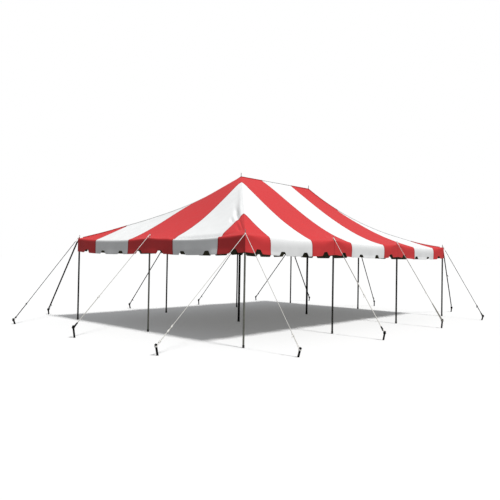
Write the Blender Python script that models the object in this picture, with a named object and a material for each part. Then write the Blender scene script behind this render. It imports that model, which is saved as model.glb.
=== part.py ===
"""Striped marquee: a pole tent of 20 by 30 feet on two centre poles, with its guy ropes and stakes.

The origin is at ground level, in the middle of the staked-out rectangle. +X runs along the ridge,
the front long side faces -Y and +Z is up. The poles and the cloth are pitched a little forward of
the middle of the stakes. Lengths are in metres.
"""
import math

import bmesh
import bpy
from mathutils import Matrix, Vector
from mathutils.bvhtree import BVHTree

FOOT = 0.3048

# Cloth
LENGTH = 30 * FOOT
WIDTH = 20 * FOOT
HALF_LENGTH = LENGTH / 2
HALF_WIDTH = WIDTH / 2
RIDGE_HALF = HALF_LENGTH - HALF_WIDTH
EAVE_HEIGHT = 2.145
PEAK_HEIGHT = 3.895
CLOTH_THICKNESS = 0.004
VALANCE_DEPTH = 0.325
VALANCE_THICKNESS = 0.003
EAVE_SAG = 0.060
EAVE_SAG_FADE = 8

# Slack of each hip at its foot and at its top, as a share of the rise: 0 is a straight hip
HIP_SLACK = {
    ("front", "left"): (0.03, -0.32),
    ("front", "right"): (0.67, 0.97),
    ("back", "left"): (0.28, 0.73),
    ("back", "right"): (0.70, 0.70),
}
# What the middle of a slope adds to that, at its foot and at its top
SIDE_HOLLOW = (0.36, -0.17)
END_HOLLOW = (0.43, -0.46)

# Name of each slope, whether it is an end, and its side of the middle
SLOPES = (
    ("front", False, -1),
    ("back", False, 1),
    ("left_end", True, -1),
    ("right_end", True, 1),
)

# Scallops: one arched notch in the middle of every 2.5 feet of valance
SCALLOP_PITCH = 2.5 * FOOT
NOTCH_TOP_HALF = 0.045
NOTCH_HALF_WIDTH = 0.13
NOTCH_HEIGHT = 0.085
NOTCH_STEPS = 8

# Poles, on a 10 foot grid
POLE_SPACING = 10 * FOOT
POLE_INSET = 0.03
ROW_X = HALF_LENGTH - POLE_INSET
ROW_Y = HALF_WIDTH - POLE_INSET
SIDE_POLE_RADIUS = 0.019
CENTRE_POLE_RADIUS = 0.030
SIDE_PIN_RADIUS = 0.006
CENTRE_PIN_RADIUS = 0.008
SIDE_PIN_HEIGHT = 0.090
CENTRE_PIN_HEIGHT = 0.115
FOOT_CAP_HEIGHT = 0.055
FOOT_CAP_WALL = 0.003

# How far three poles stand off the grid
POLE_SHIFT = {
    "front_2": (-0.040, 0),
    "back_2": (-0.055, 0),
    "left_middle": (0, -0.050),
}

# Stakes and guy ropes
PITCH_FORWARD = 0.27
STAKE_RADIUS = 0.014
STAKE_HEAD_RADIUS = 0.021
STAKE_HEAD_HEIGHT = 0.030
STAKE_HEAD_RIM = 0.018
STAKE_CROWN_RADIUS = 0.011
ROPE_RADIUS = 0.006
ROPE_TOP = 0.057
ROPE_BELOW_TOP = 0.070

# Each stake, driven by eye: its plan position, its length above ground, and its lean away from the tent
# in degrees. One with "end" or "middle" in its name stands off an end, the others off a long side.
STAKES = {
    "front_1": ((-4.530, -4.578), 0.187, 16),
    "front_2": ((-1.557, -4.584), 0.204, 11),
    "front_3": ((1.505, -4.564), 0.241, 5),
    "front_4": ((4.340, -4.578), 0.168, 17),
    "back_1": ((-4.480, 4.466), 0.176, 15),
    "back_2": ((-1.624, 4.567), 0.185, 19),
    "back_3": ((1.148, 4.294), 0.205, 5),
    "back_4": ((4.420, 4.441), 0.182, 8),
    "front_1_end": ((-6.217, -2.843), 0.215, 12),
    "front_4_end": ((6.208, -2.910), 0.187, 20),
    "back_1_end": ((-6.171, 2.836), 0.153, 19),
    "back_4_end": ((6.071, 2.973), 0.180, 12),
    "left_middle": ((-6.232, -0.100), 0.262, 8),
    "right_middle": ((6.087, -0.041), 0.215, 0),
}

# Space left between pieces that touch, and the distance within which points are merged
GAP = 0.0003
MERGE = 0.00005

# Facets
GRID_STEP = 1.25 * FOOT
SLOPE_ROWS = 10
POLE_SEGMENTS = 16
PIN_SEGMENTS = 12
STAKE_SEGMENTS = 12
SMOOTH_ANGLE = math.radians(35)


def clear_scene():
    """Remove the default objects."""
    for thing in list(bpy.data.objects):
        bpy.data.objects.remove(thing, do_unlink=True)


def make_material(name, hex_colour, roughness, metallic=0.0):
    """Principled material in an sRGB hex colour."""
    channels = [int(hex_colour[i:i + 2], 16) / 255 for i in (1, 3, 5)]
    linear = [c / 12.92 if c <= 0.04045 else ((c + 0.055) / 1.055) ** 2.4 for c in channels]
    material = bpy.data.materials.new(name)
    material.use_nodes = True
    shader = material.node_tree.nodes["Principled BSDF"]
    shader.inputs["Base Color"].default_value = (*linear, 1.0)
    shader.inputs["Roughness"].default_value = roughness
    shader.inputs["Metallic"].default_value = metallic
    return material


def link_mesh(name, bm, material, smooth_angle=None):
    """Turn a bmesh into a named object with its material."""
    bmesh.ops.recalc_face_normals(bm, faces=bm.faces[:])
    mesh = bpy.data.meshes.new(name)
    bm.to_mesh(mesh)
    bm.free()
    mesh.materials.append(material)
    if smooth_angle is not None:
        mesh.shade_smooth()
        mesh.set_sharp_from_angle(angle=smooth_angle)
    thing = bpy.data.objects.new(name, mesh)
    bpy.context.collection.objects.link(thing)
    return thing


def between(pair, share):
    """Value at a share of the way from the first of a pair to the second."""
    return pair[0] + (pair[1] - pair[0]) * share


def bay_sag(along, bays):
    """Sag of an eave, from 0 at a pole to 1 in the middle of a bay."""
    share = (along / POLE_SPACING + bays / 2) % 1
    return 4 * share * (1 - share)


def cloth_top(x, y):
    """Height of the cloth over a plan position of the tent, whose middle is at x = y = 0."""
    row = "front" if y < 0 else "back"
    end = "left" if x < 0 else "right"
    from_side = (HALF_WIDTH - abs(y)) / HALF_WIDTH
    from_end = (HALF_LENGTH - abs(x)) / HALF_WIDTH
    inward = min(from_side, from_end)
    if from_side < from_end:
        hips = HIP_SLACK[row, "left"], HIP_SLACK[row, "right"]
        hollow = SIDE_HOLLOW
        sag = bay_sag(x, 3)
        across = x / (RIDGE_HALF + (1 - inward) * HALF_WIDTH)
    else:
        hips = HIP_SLACK["front", end], HIP_SLACK["back", end]
        hollow = END_HOLLOW
        sag = bay_sag(y, 2)
        across = y / max((1 - inward) * HALF_WIDTH, GAP)
    slack = between([between(hip, inward) for hip in hips], 0.5 + 0.5 * across)
    slack += between(hollow, inward) * (1 - across ** 2)
    climb = inward - slack * inward * (1 - inward)
    height = EAVE_HEIGHT + (PEAK_HEIGHT - EAVE_HEIGHT) * climb
    return height - EAVE_SAG * sag * (1 - inward) ** EAVE_SAG_FADE


def make_slope(name, is_end, sign, material):
    """One face of the roof as a thin closed shell, with mitred hips."""
    bm = bmesh.new()
    columns = round((WIDTH if is_end else LENGTH) / GRID_STEP)
    rows = []
    for row in range(SLOPE_ROWS + 1):
        out = (1 - row / SLOPE_ROWS) * HALF_WIDTH
        half = max((out if is_end else out + RIDGE_HALF) - 0.5 * GAP, 0.0)
        depth = RIDGE_HALF + out if is_end else max(out, 0.5 * GAP)
        verts = []
        for column in range(columns + 1):
            along = half * (2 * column / columns - 1)
            x, y = (sign * depth, along) if is_end else (along, sign * depth)
            verts.append(bm.verts.new((x, y - PITCH_FORWARD, cloth_top(x, y))))
        rows.append(verts)
    for lower, upper in zip(rows, rows[1:]):
        for column in range(columns):
            bm.faces.new((lower[column], lower[column + 1], upper[column + 1], upper[column]))
    bmesh.ops.remove_doubles(bm, verts=bm.verts[:], dist=MERGE)
    shell = bmesh.ops.extrude_face_region(bm, geom=bm.faces[:])
    under = [item for item in shell["geom"] if isinstance(item, bmesh.types.BMVert)]
    bmesh.ops.translate(bm, verts=under, vec=(0, 0, -CLOTH_THICKNESS))
    return link_mesh(name, bm, material)


def cloth_finder(slopes):
    """A function that gives the height of the underside of the cloth over a plan position."""
    trees = []
    for slope in slopes:
        bm = bmesh.new()
        bm.from_mesh(slope.data)
        trees.append(BVHTree.FromBMesh(bm))
        bm.free()

    def underside(x, y):
        hits = [tree.ray_cast(Vector((x, y, 0)), Vector((0, 0, 1)))[0] for tree in trees]
        return min(hit.z for hit in hits if hit is not None)
    return underside


def notch_rise(along):
    """Height of the scalloped edge above the bottom of the valance."""
    from_notch = abs((along / SCALLOP_PITCH) % 1 - 0.5) * SCALLOP_PITCH
    share = (NOTCH_HALF_WIDTH - from_notch) / (NOTCH_HALF_WIDTH - NOTCH_TOP_HALF)
    share = max(0.0, min(1.0, share))
    return NOTCH_HEIGHT * share * share * (3 - 2 * share)


def valance_stations(half):
    """Positions along a valance where its outline needs a point."""
    stations = {-half, half}
    for index in range(round(2 * half / SCALLOP_PITCH)):
        middle = -half + (index + 0.5) * SCALLOP_PITCH
        stations.add(middle - 0.5 * SCALLOP_PITCH)
        for step in range(NOTCH_STEPS + 1):
            stations.add(middle + NOTCH_HALF_WIDTH * (2 * step / NOTCH_STEPS - 1))
    ordered = sorted(stations)
    return [a for a, b in zip(ordered, ordered[1:] + [math.inf]) if b - a > 0.001]


def make_valance(name, is_end, sign, underside, material):
    """The hanging strip below one eave, with its scalloped bottom edge."""
    bm = bmesh.new()
    half = HALF_WIDTH if is_end else HALF_LENGTH
    short_half = half - VALANCE_THICKNESS - GAP if is_end else half - 0.5 * GAP
    outer = (HALF_LENGTH if is_end else HALF_WIDTH) - 0.5 * GAP
    inner = outer - VALANCE_THICKNESS

    def plan(place, depth):
        x, y = (sign * depth, place) if is_end else (place, sign * depth)
        return x, y - PITCH_FORWARD

    rings = []
    for along in valance_stations(half):
        place = max(-short_half, min(short_half, along))
        top = underside(*plan(place, outer - GAP)) - 2 * GAP
        bottom = top - VALANCE_DEPTH + notch_rise(along + half)
        corners = (outer, top), (inner, top), (inner, bottom), (outer, bottom)
        rings.append([bm.verts.new((*plan(place, depth), height)) for depth, height in corners])
    for here, there in zip(rings, rings[1:]):
        for corner in range(4):
            following = (corner + 1) % 4
            bm.faces.new((here[corner], here[following], there[following], there[corner]))
    bm.faces.new(rings[0])
    bm.faces.new(rings[-1])
    return link_mesh(name, bm, material)


def turn_profile(name, profile, segments, material):
    """A closed turned piece from (radius, height) points that start and end on the axis."""
    bm = bmesh.new()
    verts = [bm.verts.new((radius, 0, height)) for radius, height in profile]
    edges = [bm.edges.new(pair) for pair in zip(verts, verts[1:])]
    bmesh.ops.spin(bm, geom=verts + edges, cent=(0, 0, 0), axis=(0, 0, 1), angle=2 * math.pi,
                   steps=segments, use_merge=True)
    bmesh.ops.remove_doubles(bm, verts=bm.verts[:], dist=MERGE)
    return link_mesh(name, bm, material, SMOOTH_ANGLE)


def cloth_over_disc(underside, x, y, radius):
    """Lowest point of the cloth's underside over a round pole top."""
    count = 4 * POLE_SEGMENTS
    ring = [(i + 0.5) * 2 * math.pi / count for i in range(count)]
    reach = radius / math.cos(math.pi / POLE_SEGMENTS)
    return min(underside(x + reach * math.cos(a), y + reach * math.sin(a)) for a in ring)


def make_pole(name, x, y, radius, pin_radius, pin_height, underside, material):
    """A tube pole with its foot cap, and the pin that goes up through the cloth."""
    shoulder = cloth_over_disc(underside, x, y, radius) - GAP
    tip = cloth_top(x, y + PITCH_FORWARD) + pin_height
    cap = radius + FOOT_CAP_WALL
    profile = [(0, 0), (cap, 0), (cap, FOOT_CAP_HEIGHT), (radius, FOOT_CAP_HEIGHT),
               (radius, shoulder), (pin_radius, shoulder), (pin_radius, tip - pin_radius), (0, tip)]
    pole = turn_profile(name, profile, POLE_SEGMENTS, material)
    pole.location = (x, y, 0)
    return pole


def make_pin_cutter(places):
    """Round holes in the cloth, one for each pin."""
    bm = bmesh.new()
    for x, y, radius in places:
        made = bmesh.ops.create_cone(bm, cap_ends=True, segments=PIN_SEGMENTS, radius1=radius,
                                     radius2=radius, depth=1.0)
        bmesh.ops.translate(bm, verts=made["verts"], vec=(x, y, cloth_top(x, y + PITCH_FORWARD)))
    mesh = bpy.data.meshes.new("pin_holes")
    bm.to_mesh(mesh)
    bm.free()
    cutter = bpy.data.objects.new("pin_holes", mesh)
    bpy.context.collection.objects.link(cutter)
    cutter.hide_render = True
    cutter.display_type = "WIRE"
    return cutter


def make_stake(name, foot, lean, length, material):
    """A driven rod that leans away from the tent, cut level at the ground."""
    below = -2 * STAKE_RADIUS
    head = length - STAKE_HEAD_HEIGHT
    profile = [(0, below), (STAKE_RADIUS, below), (STAKE_RADIUS, head), (STAKE_HEAD_RADIUS, head),
               (STAKE_HEAD_RADIUS, head + STAKE_HEAD_RIM), (STAKE_CROWN_RADIUS, length), (0, length)]
    stake = turn_profile(name, profile, STAKE_SEGMENTS, material)
    turn = Vector((0, 0, 1)).rotation_difference(lean).to_matrix().to_4x4()
    place = Matrix.Translation(foot) @ turn
    bm = bmesh.new()
    bm.from_mesh(stake.data)
    bmesh.ops.transform(bm, matrix=place, verts=bm.verts[:])
    cut = bmesh.ops.bisect_plane(bm, geom=bm.verts[:] + bm.edges[:] + bm.faces[:],
                                 plane_co=(0, 0, 0), plane_no=(0, 0, -1), clear_outer=True)
    rim = [item for item in cut["geom_cut"] if isinstance(item, bmesh.types.BMEdge)]
    bmesh.ops.edgeloop_fill(bm, edges=rim)
    bmesh.ops.recalc_face_normals(bm, faces=bm.faces[:])
    bm.to_mesh(stake.data)
    bm.free()
    return stake


def make_rope(name, pin, foot, lean, length, material):
    """A taut guy rope, from the pin above the cloth to the stake below its head."""
    on_pin = Vector((pin.x, pin.y, cloth_top(pin.x, pin.y + PITCH_FORWARD) + ROPE_TOP))
    on_stake = foot + lean * (length - ROPE_BELOW_TOP)
    run = (on_stake - on_pin).normalized()
    from_pin = (SIDE_PIN_RADIUS + GAP + ROPE_RADIUS * abs(run.z)) / math.hypot(run.x, run.y)
    along_stake = abs(run.dot(lean))
    from_stake = STAKE_RADIUS + GAP + ROPE_RADIUS * along_stake
    from_stake /= math.sqrt(1 - along_stake ** 2)
    curve = bpy.data.curves.new(name, "CURVE")
    curve.dimensions = "3D"
    curve.bevel_depth = ROPE_RADIUS
    curve.bevel_resolution = 2
    curve.use_fill_caps = True
    spline = curve.splines.new("POLY")
    spline.points.add(1)
    spline.points[0].co = (*(on_pin + run * from_pin), 1)
    spline.points[1].co = (*(on_stake - run * from_stake), 1)
    curve.materials.append(material)
    rope = bpy.data.objects.new(name, curve)
    bpy.context.collection.objects.link(rope)
    return rope


def side_poles():
    """Name and plan position of each side pole, in the frame of the stakes."""
    poles = {}
    columns = (-ROW_X, -0.5 * POLE_SPACING, 0.5 * POLE_SPACING, ROW_X)
    for row, side in (("front", -1), ("back", 1)):
        for number, x in enumerate(columns, start=1):
            poles[f"{row}_{number}"] = Vector((x, side * ROW_Y - PITCH_FORWARD))
    poles["left_middle"] = Vector((-ROW_X, -PITCH_FORWARD))
    poles["right_middle"] = Vector((ROW_X, -PITCH_FORWARD))
    for name, shift in POLE_SHIFT.items():
        poles[name] += Vector(shift)
    return poles


def guy_lines():
    """Name, pole, stake foot, upward direction of the stake and its length, for each guy rope."""
    lines = []
    for name, (place, length, degrees) in STAKES.items():
        foot = Vector((*place, 0))
        off_end = name.endswith(("end", "middle"))
        away = Vector((foot.x, 0, 0)) if off_end else Vector((0, foot.y, 0))
        angle = math.radians(degrees)
        lean = away.normalized() * math.sin(angle) + Vector((0, 0, math.cos(angle)))
        lines.append((name, name.removesuffix("_end"), foot, lean, length))
    return lines


def build():
    """Make every piece of the tent."""
    clear_scene()
    cloth = make_material("canopy_vinyl", "#C8383C", 0.45)
    steel = make_material("pole_steel", "#6C6C64", 0.5, 0.8)
    iron = make_material("stake_iron", "#1C1B1A", 0.6, 0.6)
    cord = make_material("guy_rope", "#E8E8E4", 0.8)

    slopes = [make_slope(f"canopy_{name}", is_end, sign, cloth) for name, is_end, sign in SLOPES]
    underside = cloth_finder(slopes)
    for name, is_end, sign in SLOPES:
        make_valance(f"valance_{name}", is_end, sign, underside, cloth)

    pins = []
    for name, sign in (("left", -1), ("right", 1)):
        x = sign * RIDGE_HALF
        make_pole(f"centre_pole_{name}", x, -PITCH_FORWARD, CENTRE_POLE_RADIUS,
                  CENTRE_PIN_RADIUS, CENTRE_PIN_HEIGHT, underside, steel)
        pins.append((x, -PITCH_FORWARD, CENTRE_PIN_RADIUS + GAP))
    poles = side_poles()
    for name, place in poles.items():
        make_pole(f"side_pole_{name}", place.x, place.y, SIDE_POLE_RADIUS,
                  SIDE_PIN_RADIUS, SIDE_PIN_HEIGHT, underside, steel)
        pins.append((place.x, place.y, SIDE_PIN_RADIUS + GAP))
    cutter = make_pin_cutter(pins)
    for slope in slopes:
        holes = slope.modifiers.new("pin_holes", "BOOLEAN")
        holes.operation = "DIFFERENCE"
        holes.object = cutter

    for name, pole, foot, lean, length in guy_lines():
        make_stake(f"stake_{name}", foot, lean, length, iron)
        make_rope(f"guy_rope_{name}", poles[pole], foot, lean, length, cord)


build()
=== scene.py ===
"""Looks of the striped marquee: sewn vinyl, steel poles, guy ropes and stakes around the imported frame.

The tent's own middle lies PITCH_FORWARD in front of the frame's origin. Lengths are in metres.
"""
import math
import random

import bpy
from mathutils import Matrix, Vector, noise


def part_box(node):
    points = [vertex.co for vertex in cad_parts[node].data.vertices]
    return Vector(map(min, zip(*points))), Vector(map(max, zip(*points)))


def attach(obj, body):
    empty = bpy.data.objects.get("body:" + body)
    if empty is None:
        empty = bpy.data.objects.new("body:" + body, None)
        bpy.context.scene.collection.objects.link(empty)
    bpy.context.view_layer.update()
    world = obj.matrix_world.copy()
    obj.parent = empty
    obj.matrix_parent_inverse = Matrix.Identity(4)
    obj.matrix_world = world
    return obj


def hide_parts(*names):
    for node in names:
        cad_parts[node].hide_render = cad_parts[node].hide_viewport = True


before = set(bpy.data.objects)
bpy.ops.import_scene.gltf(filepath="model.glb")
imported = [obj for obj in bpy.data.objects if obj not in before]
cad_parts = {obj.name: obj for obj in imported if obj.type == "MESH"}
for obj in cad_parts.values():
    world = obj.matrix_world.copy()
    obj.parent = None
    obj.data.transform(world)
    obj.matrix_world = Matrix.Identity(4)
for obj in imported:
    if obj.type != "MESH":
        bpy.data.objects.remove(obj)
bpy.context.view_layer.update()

FOOT = 0.3048

# Outline of the tent, as in the solids
HALF_LENGTH = 15 * FOOT
HALF_WIDTH = 10 * FOOT
RIDGE_HALF = HALF_LENGTH - HALF_WIDTH
PITCH_FORWARD = 0.27
EAVE_HEIGHT = 2.145
PEAK_HEIGHT = 3.895
# Sag of the eave between poles, and the power by which it dies out up the slope
EAVE_SAG = 0.060
EAVE_SAG_FADE = 8
POLE_SPACING = 10 * FOOT

# Slack of each hip at its foot and at its top, as a share of the rise: 0 is a straight hip
HIP_SLACK = {
    ("front", "left"): (0.03, -0.32),
    ("front", "right"): (0.67, 0.97),
    ("back", "left"): (0.28, 0.73),
    ("back", "right"): (0.70, 0.70),
}
# What the middle of a slope adds to that, at its foot and at its top
SIDE_HOLLOW = (0.36, -0.17)
END_HOLLOW = (0.43, -0.46)

# Folds in the cloth: half width, then points in plan with how deep the fold lies there
FOLDS = (
    # By the near hip: the hip's rolled edge, a deep trough beside it and a short one further off
    (0.045, (-2.20, -0.63, 0.0), (-2.49, -0.91, -0.006), (-2.83, -1.23, -0.008), (-3.12, -1.51, -0.011),
     (-3.30, -1.68, -0.015), (-3.48, -1.85, -0.022), (-3.71, -2.09, -0.020), (-3.83, -2.20, 0.0)),
    (0.042, (-3.08, -1.28, 0.0), (-3.29, -1.52, 0.004), (-3.47, -1.71, 0.012), (-3.57, -1.83, 0.026),
     (-3.68, -1.94, 0.044), (-3.85, -2.14, 0.042), (-3.93, -2.25, 0.016), (-3.98, -2.32, 0.0)),
    (0.036, (-3.73, -1.81, 0.0), (-3.83, -1.93, 0.010), (-3.91, -2.03, 0.026), (-3.98, -2.12, 0.012),
     (-4.05, -2.21, 0.0)),
    # Two creases in its red corner, running to the pin, and the raised edge between them
    (0.022, (-3.94, -2.26, 0.0), (-4.01, -2.36, 0.018), (-4.19, -2.57, 0.022), (-4.34, -2.76, 0.012),
     (-4.42, -2.85, 0.0)),
    (0.022, (-3.98, -2.29, 0.0), (-4.10, -2.44, -0.007), (-4.21, -2.58, -0.008), (-4.34, -2.73, 0.0)),
    (0.032, (-4.02, -2.24, 0.0), (-4.12, -2.37, 0.008), (-4.22, -2.51, 0.018), (-4.31, -2.63, 0.024),
     (-4.38, -2.74, 0.010), (-4.43, -2.83, 0.0)),
    # Along the left eave, inside the hem
    (0.052, (-4.53, -0.70, 0.0), (-4.51, -1.00, 0.040), (-4.49, -1.50, 0.066), (-4.475, -2.10, 0.066),
     (-4.46, -2.50, 0.016), (-4.45, -2.62, 0.0)),
    # The left end hangs a little lower over its middle pole
    (0.450, (-4.57, -0.25, 0.020), (-4.57, 0.10, 0.025), (-4.57, 0.70, 0.015), (-4.57, 1.20, 0.006),
     (-4.57, 1.80, 0.0)),
    # By the other hips
    (0.050, (3.60, -2.10, 0.0), (3.95, -2.44, 0.008), (4.30, -2.78, 0.0)),
    (0.050, (-3.55, 2.10, 0.0), (-3.92, 2.43, 0.008), (-4.30, 2.76, 0.0)),
    (0.050, (3.60, 2.15, 0.0), (3.95, 2.48, 0.008), (4.30, 2.80, 0.0)),
)
# Where the mesh is finer, for the sharp folds by the near hip: how far up it, and how far to its sides
FINE_INWARD = (0.04, 0.65)
FINE_REACH = 0.30
# And along the left eave: how far in from it, and between which places along it
FINE_EAVE_WIDTH = 0.2
FINE_EAVE = (-2.6, -0.7)

# Cloth: 5 foot panels that narrow towards the ridge, and a flap of the valance sewn over the eave
CLOTH_THICKNESS = 0.0014
CELL = FOOT / 6
# Length of a slope of the roof over its length in plan
SLOPE_STRETCH = 1.15
PANEL_WIDTH = 5 * FOOT
PANEL_GATHER = 0.16
PANEL_GATHER_POWER = 5.5
# Three seams from each corner. Distance from the corner along the eave, at the eave and where the seam
# ends on the hip or the ridge, and a power: the higher it is, the later the seam bends
SEAMS = {
    ("front", "left"): ((0.75, 0.88, 1.4), (2.145, 2.41, 1.9), (3.77, 3.77, 1.0)),
    ("front", "right"): ((0.76, 0.80, 1.0), (2.03, 2.37, 2.5), (3.80, 3.82, 1.0)),
    ("back", "left"): ((0.88, 0.95, 1.0), (2.29, 2.26, 1.0), (3.81, 3.81, 1.0)),
    ("back", "right"): ((0.762, 0.80, 1.0), (2.286, 2.33, 1.0), (3.81, 3.81, 1.0)),
}
# How far up the slope each seam ends, and where it lies in the cut cloth
SEAM_ENDS = (0.28, 0.81, 1.0)
SEAM_CUTS = (0.0, 0.5 * PANEL_WIDTH, 1.5 * PANEL_WIDTH, 2.5 * PANEL_WIDTH, HALF_LENGTH)
# Width over which a seam bends as it crosses a hip
HIP_ROUNDING = 0.16
WELT_RADIUS = 0.012
FLAP_WIDTH = 0.095
FLAP_LIFT = 0.0016
# How far inside the eave the cloth starts to turn down, and how far below it hangs straight: over a
# pole, and midway between poles on the ends and on the long sides
EAVE_AT_POLE = (0.012, 0.048)
EAVE_ON_END = (0.028, 0.048)
EAVE_ON_SIDE = (0.065, 0.150)
ROOF_INSET = 0.020
WEBBING_WIDTH = 0.05
WEBBING_INSET = 0.09
VALANCE_DEPTHS = {"front": 0.333, "back": 0.312, "left_end": 0.337, "right_end": 0.325}
VALANCE_CELL = FOOT / 24
FLAP_ROWS = 4
ROUND_ROWS = 8
HANG_ROWS = 14
SCALLOP_PITCH = 2.5 * FOOT
NOTCH_TOP_HALF = 0.045
NOTCH_HALF_WIDTH = 0.13
NOTCH_HEIGHT = 0.085
# The left end's scallops lie this far off the middle, towards the near corner
NOTCH_SHIFT = {"left_end": 0.075}
HEM = 0.014

# Poles
SIDE_POLE_RADIUS = 0.019
CENTRE_POLE_RADIUS = 0.030
SIDE_PIN_RADIUS = 0.006
CENTRE_PIN_RADIUS = 0.008
# The farther poles are made this many times thicker, fitted so that they look as dark as in the photo
SIDE_POLE_WIDTHS = {"back_1": 1.12, "back_2": 1.20, "back_3": 1.18, "back_4": 1.28, "right_middle": 1.28,
                    "front_2": 1.10, "front_3": 1.18, "front_4": 1.16}
# These two are drawn in a paler copy of the tube colour, as painted light
NEAR_POLES = ("side_pole_front_1", "side_pole_left_middle")

# Ropes and stakes. The stakes are thicker than their solids, so that they look as dark as in the photo.
ROPE_TOP = 0.057
ROPE_BELOW_TOP = 0.050
STAKE_RADIUS = 0.0195
STAKE_LENGTH = 0.240

# Camera, from a fit to the pole feet and stakes: 38.5 mm lens at eye height
CAMERA_PLACE = (-11.941, -9.947 - PITCH_FORWARD, 1.677)
CAMERA_TURN = (90.995, -0.983, -47.426)
FOCAL_LENGTH = 38.51
SENSOR_WIDTH = 36.0


# Small tools


def linear(hex_colour):
    """Linear RGBA of an sRGB hex colour."""
    channels = [int(hex_colour[i:i + 2], 16) / 255 for i in (1, 3, 5)]
    return (*(c / 12.92 if c <= 0.04045 else ((c + 0.055) / 1.055) ** 2.4 for c in channels), 1.0)


def feed(tree, node, inputs):
    """Set inputs of a shader node. Each is a value, or the socket that feeds it."""
    for name, value in inputs.items():
        if isinstance(value, bpy.types.NodeSocket):
            tree.links.new(value, node.inputs[name])
        else:
            node.inputs[name].default_value = value


def add(tree, kind, inputs=None, **settings):
    """Add a shader node with its settings and its inputs."""
    made = tree.nodes.new("ShaderNode" + kind)
    for name, value in settings.items():
        setattr(made, name, value)
    feed(tree, made, inputs or {})
    return made


def start_material(name):
    """A new material, its node tree and its Principled shader."""
    material = bpy.data.materials.new(name)
    material.use_nodes = True
    return material, material.node_tree, material.node_tree.nodes["Principled BSDF"]


def only(*things):
    """Make these the only selected objects, the last one active."""
    bpy.ops.object.select_all(action="DESELECT")
    for thing in things:
        thing.select_set(True)
        bpy.context.view_layer.objects.active = thing


def keep_place_in_mesh(thing):
    """Leave the object at the origin, unturned and unscaled."""
    only(thing)
    bpy.ops.object.transform_apply(location=True, rotation=True, scale=True)


def thicken(thing, thickness, offset, lined=False):
    """Give a sheet its thickness, and its inner face the second material if it is lined."""
    shell = thing.modifiers.new("thickness", "SOLIDIFY")
    shell.thickness = thickness
    shell.offset = offset
    shell.material_offset = int(lined)
    only(thing)
    bpy.ops.object.modifier_apply(modifier=shell.name)


def turned_to(direction):
    """The turn that brings +Z to a direction."""
    return direction.to_track_quat("Z", "Y").to_matrix().to_4x4()


def nodes_named(part):
    """Names of the frame's nodes that hold a word."""
    return sorted(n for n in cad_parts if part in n)


def pole_place(node):
    """Middle of a pole in plan, and the height of its tip."""
    low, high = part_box(node)
    return 0.5 * (low.x + high.x), 0.5 * (low.y + high.y), high.z


def dress(thing, *materials):
    """Give a piece its materials, in the order of its faces' material indices."""
    for material in materials:
        thing.data.materials.append(material)


def finish_piece(thing, name, replaced=()):
    """Name a piece and put it on the frame."""
    thing.name = thing.data.name = name
    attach(thing, "root")
    if replaced:
        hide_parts(*replaced)
    return thing


def join(things):
    """Join objects into the first of them."""
    only(*reversed(things))
    bpy.ops.object.join()
    return things[0]


def between(pair, share):
    """Value at a share of the way from the first of a pair to the second."""
    return pair[0] + (pair[1] - pair[0]) * share


def smooth(low, high, value):
    """Smooth step from 0 at low to 1 at high."""
    share = max(0.0, min(1.0, (value - low) / (high - low)))
    return share * share * (3 - 2 * share)


# Shape of the cloth


def bay_sag(along, bays):
    """Sag of an eave, from 0 at a pole to 1 in the middle of a bay."""
    share = (along / POLE_SPACING + bays / 2) % 1
    return 4 * share * (1 - share)


def on_side(x, y):
    """Whether a plan position lies on the front or back slope, and not on an end."""
    return HALF_WIDTH - abs(y) < HALF_LENGTH - abs(x)


def inward_share(x, y):
    """How far up its slope a plan position lies, from 0 at the eave to 1 at the ridge."""
    return min(HALF_WIDTH - abs(y), HALF_LENGTH - abs(x)) / HALF_WIDTH


def cloth_top(x, y):
    """Height of the taut cloth over a plan position of the tent."""
    row = "front" if y < 0 else "back"
    end = "left" if x < 0 else "right"
    inward = inward_share(x, y)
    if on_side(x, y):
        hips = HIP_SLACK[row, "left"], HIP_SLACK[row, "right"]
        hollow = SIDE_HOLLOW
        sag = bay_sag(x, 3)
        across = x / (RIDGE_HALF + (1 - inward) * HALF_WIDTH)
    else:
        hips = HIP_SLACK["front", end], HIP_SLACK["back", end]
        hollow = END_HOLLOW
        sag = bay_sag(y, 2)
        across = y / max((1 - inward) * HALF_WIDTH, 0.001)
    slack = between([between(hip, inward) for hip in hips], 0.5 + 0.5 * across)
    slack += between(hollow, inward) * (1 - across ** 2)
    climb = inward - slack * inward * (1 - inward)
    height = EAVE_HEIGHT + (PEAK_HEIGHT - EAVE_HEIGHT) * climb
    return height - EAVE_SAG * sag * (1 - inward) ** EAVE_SAG_FADE


def fold_depth(x, y):
    """How far the folds press the cloth down."""
    here = Vector((x, y))
    total = 0.0
    for half_width, *points in FOLDS:
        nearest, depth = 9.0, 0.0
        for low, high in zip(points, points[1:]):
            run = Vector(high[:2]) - Vector(low[:2])
            share = max(0.0, min(1.0, (here - Vector(low[:2])).dot(run) / run.length_squared))
            away = (here - Vector(low[:2]) - run * share).length
            if away < nearest:
                nearest, depth = away, between((low[2], high[2]), share)
        total += depth * math.exp(-(nearest / half_width) ** 2)
    return total


def ripple(x, y):
    """Slight unevenness of the sewn cloth, none at the eave and the peaks."""
    inward = inward_share(x, y)
    fade = smooth(0.0, 0.12, inward) * smooth(1.0, 0.85, inward)
    rough = noise.noise(Vector((0.9 * x, 0.9 * y, 3.1))) + 0.5 * noise.noise(Vector((2.3 * x, 2.3 * y, 7.7)))
    return 0.006 * rough * fade


def taut_top(x, y):
    """Height of the cloth with its folds and ripples, before it turns down at the eave."""
    return cloth_top(x, y) - fold_depth(x, y) + ripple(x, y)


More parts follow.
